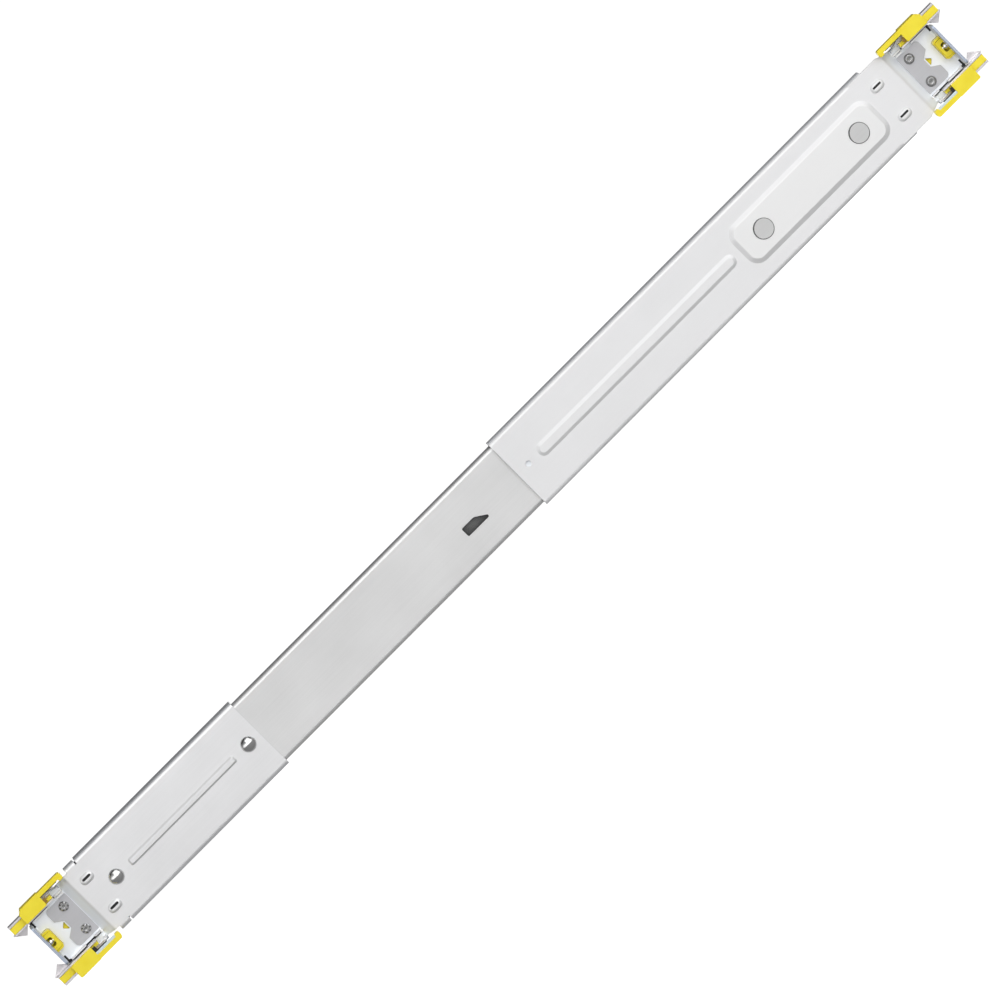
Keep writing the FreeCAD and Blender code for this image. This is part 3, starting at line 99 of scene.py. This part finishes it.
# Small pieces, in millimetres. A profile is (radius, y), a depth is (y from, y to).
FRAME_START, FRAME_END, FRAME_HALF = 0.5, 5.32, 5.42
FRAME_WALL, FRAME_RIM, FRAME_CORNER = 0.9, 0.3, 1.3
FRAME_DEPTH = (-1.7, 4.35)
STAKES, STAKE_CIRCLE, STAKE_TURN, STAKE_SEGMENTS = 7, 1.75, 0.3, 10
STAKE_PROFILE = ((0.02, 1.6), (0.3, 1.66), (0.46, 1.9))
GROOVE_PROFILE = ((1.95, 1.88), (2.1, 1.78), (2.4, 2.1), (2.5, 2.58))
# Ring of painted shade round each flush rivet
SHADE_RING_PROFILE, SHADE_RING_SEGMENTS = ((4.6, -1.57), (4.86, -1.56), (4.92, -1.3)), 48
SHADE_CRESCENT, SHADE_CRESCENT_TURN = 0.35, math.radians(130)
# Black pieces of painted shadow in the lug slits and behind the rear lugs
SLIT_SHADE_HALF, SLIT_SHADE_RADIUS = 1.75, 0.62
SLIT_SHADE_DEPTH = {"front": (-0.84, -0.6), "rear": (-1.09, -0.85)}
BACKING_SHADE_HALF, BACKING_SHADE_RADIUS, BACKING_SHADE_DEPTH = 2.2, 1.2, (1.22, 1.4)

# Plates of the heads, in millimetres: (u from, u to), (z from, z to). The grip lines and pads are painted
# shade, the grip strips painted shine.
GUSSET_PLACE, GUSSET_DEPTH = ((16.9, 21.75), (12.5, 13.4)), (3.3, 4.35)
PAD_PLACE = {"upper": ((12.7, 14.3), (14.6, 16.8)), "lower": ((12.7, 14.5), (14.4, 17.05))}
LINE_PLACE = {"upper": ((12.7, 23.0), (17.95, 18.35)), "lower": ((14.4, 20.0), (16.5, 17.05))}
STRIP_PLACE = ((12.7, 24.2), (17.0, 18.35))
TRIM_DEPTH = (-4.55, -4.3)
PLATE_ROUNDING, PLATE_ROUNDING_STEPS = 0.08, 2


# Node helpers
def new_material(name):
    """Empty node material with its principled shader."""
    material = bpy.data.materials.new(name)
    material.use_nodes = True
    return material, material.node_tree, material.node_tree.nodes["Principled BSDF"]


def add(tree, kind, **values):
    """Node with its settings and its plain input values."""
    node = tree.nodes.new(kind)
    for key, value in values.items():
        if key in node.inputs:
            node.inputs[key].default_value = value
        else:
            setattr(node, key, value)
    return node


def object_coords(tree, scale=(1, 1, 1)):
    """Object coordinates, scaled by axis, so that a pattern stays on its piece."""
    coords = add(tree, "ShaderNodeTexCoord")
    mapping = add(tree, "ShaderNodeMapping")
    mapping.inputs["Scale"].default_value = scale
    tree.links.new(coords.outputs["Object"], mapping.inputs["Vector"])
    return mapping.outputs["Vector"]


def noise(tree, coords, scale, detail):
    """Noise pattern from 0 to 1."""
    node = add(tree, "ShaderNodeTexNoise", Scale=scale, Detail=detail, Roughness=NOISE_ROUGHNESS)
    tree.links.new(coords, node.inputs["Vector"])
    return node.outputs["Fac"]


def ramp(tree, pattern, colours):
    """Pattern turned into a run between two colours."""
    node = add(tree, "ShaderNodeValToRGB")
    for element, position, colour in zip(node.color_ramp.elements, COLOUR_ENDS, colours):
        element.position = position
        element.color = (*colour, 1)
    tree.links.new(pattern, node.inputs["Fac"])
    return node.outputs["Color"]


def mapped(tree, value, source, target=(0.0, 1.0), smooth=False):
    """Number mapped from one range to another and held at the ends."""
    node = add(tree, "ShaderNodeMapRange", interpolation_type="SMOOTHSTEP" if smooth else "LINEAR")
    node.inputs["From Min"].default_value, node.inputs["From Max"].default_value = source
    node.inputs["To Min"].default_value, node.inputs["To Max"].default_value = target
    tree.links.new(value, node.inputs["Value"])
    return node.outputs["Result"]


def multiplied(tree, first, second):
    """Product of two numbers."""
    node = add(tree, "ShaderNodeMath", operation="MULTIPLY")
    tree.links.new(first, node.inputs[0])
    tree.links.new(second, node.inputs[1])
    return node.outputs["Value"]


def unless_seen(tree, value):
    """The value for light and reflections, and 1 for the camera."""
    path = add(tree, "ShaderNodeLightPath")
    mix = add(tree, "ShaderNodeMix", data_type="FLOAT")
    tree.links.new(path.outputs["Is Camera Ray"], mix.inputs[0])
    tree.links.new(value, mix.inputs[2])
    mix.inputs[3].default_value = 1.0
    return mix.outputs[0]


def softened(tree, radius):
    """Normal with the sharp edges rounded by a small radius."""
    node = add(tree, "ShaderNodeBevel", samples=EDGE_SAMPLES)
    node.inputs["Radius"].default_value = radius
    return node.outputs["Normal"]


def shadowed(tree, colour, reach, depth, shares=OPEN_SHARES):
    """Colour darkened with painted shade in gaps narrower than the reach, most where least of the sky is
    open.
    """
    node = add(tree, "ShaderNodeAmbientOcclusion", samples=SHADE_SAMPLES)
    node.inputs["Distance"].default_value = reach
    mix = add(tree, "ShaderNodeMix", data_type="RGBA", blend_type="MULTIPLY")
    mix.inputs[0].default_value = 1.0
    tree.links.new(colour, mix.inputs[6])
    tree.links.new(mapped(tree, node.outputs["AO"], shares, (1 - depth, 1.0)), mix.inputs[7])
    return mix.outputs[2]


def paint_by_place(tree, colour, axis, stops, other, most):
    """Colour painted over with another one along an axis of the object, for painted light and shade: out,
    in, in and out again.
    """
    split = add(tree, "ShaderNodeSeparateXYZ")
    tree.links.new(object_coords(tree), split.inputs["Vector"])
    place = split.outputs[axis]
    out, full, still, gone = (stop * MM for stop in stops)
    rise = mapped(tree, place, (out, full), (0.0, most))
    fall = mapped(tree, place, (gone, still))
    share = multiplied(tree, rise, fall)
    mix = add(tree, "ShaderNodeMix", data_type="RGBA")
    tree.links.new(share, mix.inputs[0])
    tree.links.new(colour, mix.inputs[6])
    mix.inputs[7].default_value = (*other, 1)
    return mix.outputs[2]


def shade(value, tint):
    """Grey of a brightness, tinted."""
    return tuple(value * t for t in tint)


def set_roughness(tree, shader, pattern, rough, spread):
    """Roughness that varies with the pattern."""
    roughness = mapped(tree, pattern, PATTERN_ENDS, (rough - spread, rough + spread))
    tree.links.new(roughness, shader.inputs["Roughness"])


def set_relief(tree, shader, height, strength, distance, edge):
    """Fine relief over softened edges."""
    bump = add(tree, "ShaderNodeBump", Strength=strength, Distance=distance)
    tree.links.new(height, bump.inputs["Height"])
    tree.links.new(softened(tree, edge), bump.inputs["Normal"])
    tree.links.new(bump.outputs["Normal"], shader.inputs["Normal"])


# Materials
def sheet_metal(
    name, base, contrast, metallic, rough,
    grain=0.02, tint=(1, 1, 1), edge=0.25 * MM, reach=3 * MM, shares=OPEN_SHARES, painted_tones=(),
):
    """Rolled sheet metal: faint grain along the rail, soft clouds, painted shade in gaps, tones painted by
    place and softened edges.
    """
    material, tree, shader = new_material(name)
    clouds = noise(tree, object_coords(tree), *CLOUDS)
    lines = noise(tree, object_coords(tree, LINE_STRETCH), *ROLLED_LINES)
    blend = add(tree, "ShaderNodeMix", data_type="FLOAT")
    blend.inputs[0].default_value = LINE_SHARE
    tree.links.new(clouds, blend.inputs[2])
    tree.links.new(lines, blend.inputs[3])
    pattern = blend.outputs[0]
    colours = shade(base * (1 - contrast), tint), shade(base * (1 + contrast), tint)
    colour = shadowed(tree, ramp(tree, pattern, colours), reach, METAL_SHADE, shares)
    for band in painted_tones:
        colour = paint_by_place(tree, colour, *band)
    tree.links.new(colour, shader.inputs["Base Color"])
    shader.inputs["Metallic"].default_value = metallic
    set_roughness(tree, shader, pattern, rough, METAL_ROUGH_SPREAD)
    set_relief(tree, shader, lines, grain, METAL_RELIEF, edge)
    return material


def plastic(name, low, high, rough, edge=0.3 * MM, subsurface=0.0):
    """Moulded plastic: even colour with faint mottling, painted shade in gaps and a fine spark-eroded grain.
    """
    material, tree, shader = new_material(name)
    mottling = noise(tree, object_coords(tree), *MOTTLING)
    grain = noise(tree, object_coords(tree), *SPARK_GRAIN)
    colour = shadowed(tree, ramp(tree, mottling, (low, high)), PLASTIC_REACH, PLASTIC_SHADE)
    tree.links.new(colour, shader.inputs["Base Color"])
    shader.inputs["Subsurface Weight"].default_value = subsurface
    set_roughness(tree, shader, mottling, rough, PLASTIC_ROUGH_SPREAD)
    set_relief(tree, shader, grain, PLASTIC_GRAIN, PLASTIC_RELIEF, edge)
    return material


SLOTS = {
    "zinc_steel": sheet_metal(
        "zinc_steel", 0.84, 0.03, 0.6, 0.4, tint=(0.99, 0.99, 1.0), painted_tones=(WEB_LIGHT_BAND, FRONT_FLANGE_SHADE)
    ),
    # Rail steel: painted shade that reaches far into the channel
    "rail_steel": sheet_metal("rail_steel", 0.73, 0.04, 0.6, 0.4, reach=9 * MM),
    "leaf_steel": sheet_metal("leaf_steel", 0.56, 0.04, 0.5, 0.36, tint=(0.99, 0.99, 1.03)),
    "hook_steel": sheet_metal("hook_steel", 0.78, 0.05, 0.6, 0.32, tint=(1.0, 0.965, 0.985)),
    "spring_steel": sheet_metal(
        "spring_steel", 0.62, 0.08, 0.9, 0.18, tint=(0.93, 1.0, 1.06), edge=0.1 * MM
    ),
    # Cage steel: deep painted shade that reaches far into the channel
    "cage_steel": sheet_metal("cage_steel", 0.5, 0.05, 0.8, 0.35, reach=12 * MM, shares=DEEP_SHARES),
    "rivet_steel": sheet_metal("rivet_steel", 0.7, 0.04, 1.0, 0.2),
    "ball_steel": sheet_metal("ball_steel", 0.85, 0.02, 1.0, 0.1, grain=0.0),
    "yellow_plastic": plastic(
        "yellow_plastic", (0.94, 0.75, 0.018), (1.0, 0.82, 0.035), 0.38, subsurface=0.05
    ),
    "white_plastic": plastic("white_plastic", (0.76, 0.76, 0.74), (0.82, 0.82, 0.8), 0.4),
    "black_plastic": plastic("black_plastic", (0.006, 0.006, 0.007), (0.012, 0.012, 0.013), 0.5),
    "black_rubber": plastic("black_rubber", (0.02, 0.02, 0.02), (0.035, 0.035, 0.035), 0.6),
}

# Materials of single small pieces, most of them painted shade and shine, and of two nodes that differ from
# their slot
# Painted shade of the rivet stakes and flush rivet rings, and of the rear rivet grooves
PAINTED_SHADE_STEEL = sheet_metal("painted_shade_steel", 0.1, 0.1, 0.4, 0.4)
GROOVE_SHADE_STEEL = sheet_metal("groove_shade_steel", 0.22, 0.1, 0.4, 0.4)
# Painted shine of the grip strips
PAINTED_SHINE_STEEL = sheet_metal("painted_shine_steel", 0.86, 0.04, 0.4, 0.3, tint=(0.84, 0.96, 1.04), shares=FAINT_SHARES)
PALE_STEEL = sheet_metal("pale_steel", 0.93, 0.02, 0.2, 0.5, shares=FAINT_SHARES)
# Yellow plastic painted as in shade, for the upper grip pads
SHADED_YELLOW = plastic("shaded_yellow_plastic", (0.24, 0.13, 0.01), (0.3, 0.17, 0.015), 0.4)
OWN = {
    "guide_block_rivets": sheet_metal("flush_rivet_steel", 0.6, 0.05, 0.4, 0.45),
    "rear_bracket": sheet_metal(
        "rear_zinc_steel", 0.82, 0.02, 0.3, 0.45,
        tint=(0.99, 0.99, 1.0), painted_tones=(WEB_LIGHT_BAND, REAR_FLANGE_SHADE, PAD_DARK_BAND),
    ),
}


def dress_nodes():
    """Gives each CAD node the material of its slot, or its own."""
    for part in frame["record"]["subparts"]:
        node = frame["nodes"][part["node"]]
        node.data.materials.clear()
        node.data.materials.append(OWN.get(part["node"], SLOTS[part["material_slot"]]))


# Outlines and forms of the small pieces that the CAD model leaves to the picture
def add_piece(name, points, faces, material, slot, body, smooth=False):
    """Mesh piece that rides on a body."""
    mesh = bpy.data.meshes.new(name)
    mesh.from_pydata([tuple(c * MM for c in p) for p in points], [], faces)
    mesh.validate()
    mesh.materials.append(material)
    for face in mesh.polygons:
        face.use_smooth = smooth
    piece = bpy.data.objects.new(name, mesh)
    bpy.context.scene.collection.objects.link(piece)
    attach(piece, body)
    return piece


def lathe(centre, profile, segments=32, wobble=None):
    """Points and faces of a profile of (radius, y) turned about the Y axis through the centre (x, z)."""
    points, faces = [], []
    for i in range(segments):
        angle = 2 * math.pi * i / segments
        for j, (radius, y) in enumerate(profile):
            r = radius + (wobble(angle, j) if wobble else 0.0)
            points.append((centre[0] + r * math.cos(angle), y, centre[1] + r * math.sin(angle)))
    n = len(profile)
    for i in range(segments):
        k = (i + 1) % segments
        for j in range(n - 1):
            faces.append((i * n + j, i * n + j + 1, k * n + j + 1, k * n + j))
    return points, faces


def slab(loop, y0, y1):
    """Points and faces of a flat outline of (x, z) pushed from y0 to y1, with its faces outward."""
    n = len(loop)
    if sum(loop[i - 1][0] * loop[i][1] - loop[i][0] * loop[i - 1][1] for i in range(n)) < 0:
        loop = loop[::-1]
    points = [(x, y, z) for y in (y0, y1) for x, z in loop]
    sides = [((i + 1) % n, i, n + i, n + (i + 1) % n) for i in range(n)]
    return points, [tuple(range(n)), tuple(reversed(range(n, 2 * n)))] + sides


def arc(x, z, radius, start, end, steps=5):
    """Points (x, z) of an arc, in degrees."""
    turns = [math.radians(start + (end - start) * i / steps) for i in range(steps + 1)]
    return [(x + radius * math.cos(t), z + radius * math.sin(t)) for t in turns]


def stadium(x, z, half, radius):
    """Outline with round ends, half the given length to either side of its middle."""
    return arc(x + half, z, radius, -90, 90) + arc(x - half, z, radius, 90, 270)


def facing(end, u):
    """X of a place u inward from the post of one end."""
    return u if end == "front" else RACK_DEPTH - u


def add_plate(end, level, name, place, depth, finish, body):
    """Thin plate with rounded edges on one level of a head. The finish is (material, slot); its slot is not
    used.
    """
    (u0, u1), (z0, z1) = place
    x0, x1, way = facing(end, u0), facing(end, u1), LEVELS[level]
    loop = [(x0, way * z0), (x1, way * z0), (x1, way * z1), (x0, way * z1)]
    points, faces = slab(loop, *depth)
    piece = add_piece(f"{end}_{level}_{name}", points, faces, *finish, body)
    rounding = piece.modifiers.new("rounding", "BEVEL")
    rounding.width, rounding.segments = PLATE_ROUNDING * MM, PLATE_ROUNDING_STEPS


# The small pieces
def lock_frames():
    """Yellow frame of the lock housing that lines each head's window."""
    outer, inner = FRAME_HALF, FRAME_HALF - FRAME_WALL
    loop = [(FRAME_START, -outer)]
    loop += arc(FRAME_END - FRAME_CORNER, -outer + FRAME_CORNER, FRAME_CORNER, -90, 0)
    loop += arc(FRAME_END - FRAME_CORNER, outer - FRAME_CORNER, FRAME_CORNER, 0, 90)
    loop += [(FRAME_START, outer), (FRAME_START, inner)]
    corner = FRAME_CORNER - FRAME_RIM
    loop += arc(FRAME_END - FRAME_CORNER, inner - corner, corner, 90, 0)
    loop += arc(FRAME_END - FRAME_CORNER, -inner + corner, corner, 0, -90)
    loop += [(FRAME_START, -inner)]
    for end, body in HEADS:
        points, faces = slab([(facing(end, u), z) for u, z in loop], *FRAME_DEPTH)
        add_piece(f"{end}_lock_frame", points, faces, SLOTS["yellow_plastic"], "yellow_plastic", body)


def stakes(z, way):
    """Points and faces of the staked lobes round a front leaf rivet at the height z."""
    points, faces = [], []
    for i in range(STAKES):
        angle = 2 * math.pi * (i + STAKE_TURN * way) / STAKES
        centre = LEAF_RIVET_U + STAKE_CIRCLE * math.cos(angle), z + STAKE_CIRCLE * math.sin(angle)
        lobe, quads = lathe(centre, STAKE_PROFILE, STAKE_SEGMENTS)
        faces += [tuple(k + len(points) for k in quad) for quad in quads]
        points += lobe
    return points, faces


def rivet_marks():
    """Staked lobes round the front leaf rivets and a rolled groove round the rear ones, both coloured dark
    as painted shade.
    """
    for level, way in LEVELS.items():
        z = way * LEAF_RIVET_Z
        name = f"front_{level}_rivet_stake_shade"
        add_piece(name, *stakes(z, way), PAINTED_SHADE_STEEL, "rivet_steel", "fixed_rail", smooth=True)
        name = f"rear_{level}_rivet_groove_shade"
        points, faces = lathe((RACK_DEPTH - LEAF_RIVET_U, z), GROOVE_PROFILE)
        add_piece(name, points, faces, GROOVE_SHADE_STEEL, "rivet_steel", "rear_carrier", smooth=True)


def flush_rivet_shade_rings():
    """Ring of painted shade round each flush rivet, for the shadow of the gap round it, widest on its upper
    front side.
    """
    def crescent(angle, ring):
        return -SHADE_CRESCENT * max(0.0, math.cos(angle - SHADE_CRESCENT_TURN)) ** 2 if ring == 0 else 0.0

    for i, x in enumerate(FLUSH_RIVETS_X):
        name = f"flush_rivet_shade_ring_{i + 1}"
        points, faces = lathe((x, 0.0), SHADE_RING_PROFILE, SHADE_RING_SEGMENTS, crescent)
        add_piece(name, points, faces, PAINTED_SHADE_STEEL, "rivet_steel", "rear_carrier", smooth=True)


def lug_slit_shadows():
    """Black pieces of painted shadow in the slit of each lug, and behind the rear ones."""
    black = SLOTS["black_plastic"]
    for end, body in HEADS:
        for level, way in LEVELS.items():
            x, z = facing(end, LUG_U[end]), way * LUG_Z + LUG_SLIT_SHIFT
            points, faces = slab(stadium(x, z, SLIT_SHADE_HALF, SLIT_SHADE_RADIUS), *SLIT_SHADE_DEPTH[end])
            add_piece(f"{end}_{level}_lug_slit_shade", points, faces, black, "black_plastic", body)
            if end == "rear":
                points, faces = slab(stadium(x, z, BACKING_SHADE_HALF, BACKING_SHADE_RADIUS), *BACKING_SHADE_DEPTH)
                add_piece(f"rear_{level}_lug_backing_shade", points, faces, black, "black_plastic", body)


def head_trim():
    """Gusset in each upper slot, and plates that stand for the shade and shine inside the grips."""
    dark = SLOTS["black_plastic"], "black_plastic"
    shaded_yellow, pale, painted_shine = (SHADED_YELLOW, "yellow_plastic"), (PALE_STEEL, "zinc_steel"), (PAINTED_SHINE_STEEL, "spring_steel")
    for end, body in HEADS:
        for level in LEVELS:
            latch = f"{end}_{level}_latch"
            line, pad = LINE_PLACE[level], PAD_PLACE[level]
            add_plate(end, level, "grip_shadow_line", line, TRIM_DEPTH, dark, latch)
            if level == "upper":
                add_plate(end, level, "grip_shade_pad", pad, TRIM_DEPTH, shaded_yellow, latch)
                add_plate(end, level, "gusset", GUSSET_PLACE, GUSSET_DEPTH, pale, body)
            else:
                add_plate(end, level, "grip_shade_pad", pad, TRIM_DEPTH, dark, latch)
                add_plate(end, level, "grip_shine_strip", STRIP_PLACE, TRIM_DEPTH, painted_shine, latch)


# Camera, floor and light
def add_camera():
    """Camera at its distance from the target, turned and rolled to the view of the photograph."""
    back = Vector((
        math.sin(AZIMUTH) * math.cos(ELEVATION),
        -math.cos(AZIMUTH) * math.cos(ELEVATION),
        math.sin(ELEVATION),
    ))
    data = bpy.data.cameras.new("camera")
    data.lens, data.sensor_width = LENS, SENSOR
    data.clip_start, data.clip_end = CLIP
    camera = bpy.data.objects.new("camera", data)
    bpy.context.scene.collection.objects.link(camera)
    turn = back.to_track_quat("Z", "Y").to_matrix() @ Matrix.Rotation(ROLL, 3, "Z")
    camera.matrix_world = Matrix.Translation(TARGET + back * DISTANCE) @ turn.to_4x4()
    bpy.context.scene.camera = camera


def floor_material():
    """Pale floor, white to the camera, that glows behind the part in light and reflections."""
    material, tree, shader = new_material("floor")
    shader.inputs["Base Color"].default_value = (FLOOR_GREY, FLOOR_GREY, FLOOR_GREY, 1)
    shader.inputs["Roughness"].default_value = FLOOR_ROUGHNESS
    shader.inputs["Emission Color"].default_value = (1, 1, 1, 1)
    split = add(tree, "ShaderNodeSeparateXYZ")
    tree.links.new(object_coords(tree), split.inputs["Vector"])
    glow = mapped(tree, split.outputs["Y"], FLOOR_GLOW_Y, FLOOR_GLOW, smooth=True)
    tree.links.new(unless_seen(tree, glow), shader.inputs["Emission Strength"])
    return material


def add_floor():
    """Large flat floor under the part."""
    mesh = bpy.data.meshes.new("floor")
    half = FLOOR_SIZE / 2
    corners = [(x, y, FLOOR_Z) for x, y in ((-half, -half), (half, -half), (half, half), (-half, half))]
    mesh.from_pydata(corners, [], [(0, 1, 2, 3)])
    floor = bpy.data.objects.new("floor", mesh)
    bpy.context.scene.collection.objects.link(floor)
    mesh.materials.append(floor_material())


def add_area(name, at, size, power):
    """Soft lamp aimed at the target, not seen by the camera."""
    data = bpy.data.lights.new(name, "AREA")
    data.shape = "RECTANGLE"
    data.size, data.size_y = size
    data.energy = power
    light = bpy.data.objects.new(name, data)
    bpy.context.scene.collection.objects.link(light)
    light.location = at
    light.rotation_mode = "QUATERNION"
    light.rotation_quaternion = (TARGET - Vector(at)).to_track_quat("-Z", "Y")
    light.visible_camera = False


def add_world():
    """White to the camera; for light and reflections bright in front of the rail, dim behind and above."""
    world = bpy.data.worlds.new("studio")
    bpy.context.scene.world = world
    world.use_nodes = True
    tree = world.node_tree
    background = tree.nodes["Background"]
    coords = add(tree, "ShaderNodeTexCoord")
    split = add(tree, "ShaderNodeSeparateXYZ")
    tree.links.new(coords.outputs["Generated"], split.inputs["Vector"])
    side = mapped(tree, split.outputs["Y"], WORLD_TURN_Y, (WORLD_FRONT, WORLD_BACK), smooth=True)
    top = mapped(tree, split.outputs["Z"], WORLD_TURN_Z, (1.0, WORLD_TOP), smooth=True)
    tree.links.new(unless_seen(tree, multiplied(tree, side, top)), background.inputs["Strength"])
    background.inputs["Color"].default_value = (1, 1, 1, 1)


dress_nodes()
lock_frames()
rivet_marks()
flush_rivet_shade_rings()
lug_slit_shadows()
head_trim()
add_camera()
add_floor()
add_world()
add_area("key", KEY_FROM, KEY_SIZE, KEY_POWER)
add_area("back", BACK_FROM, BACK_SIZE, BACK_POWER)
bpy.context.scene.view_settings.view_transform = "Standard"
bpy.context.scene.cycles.use_denoising = True
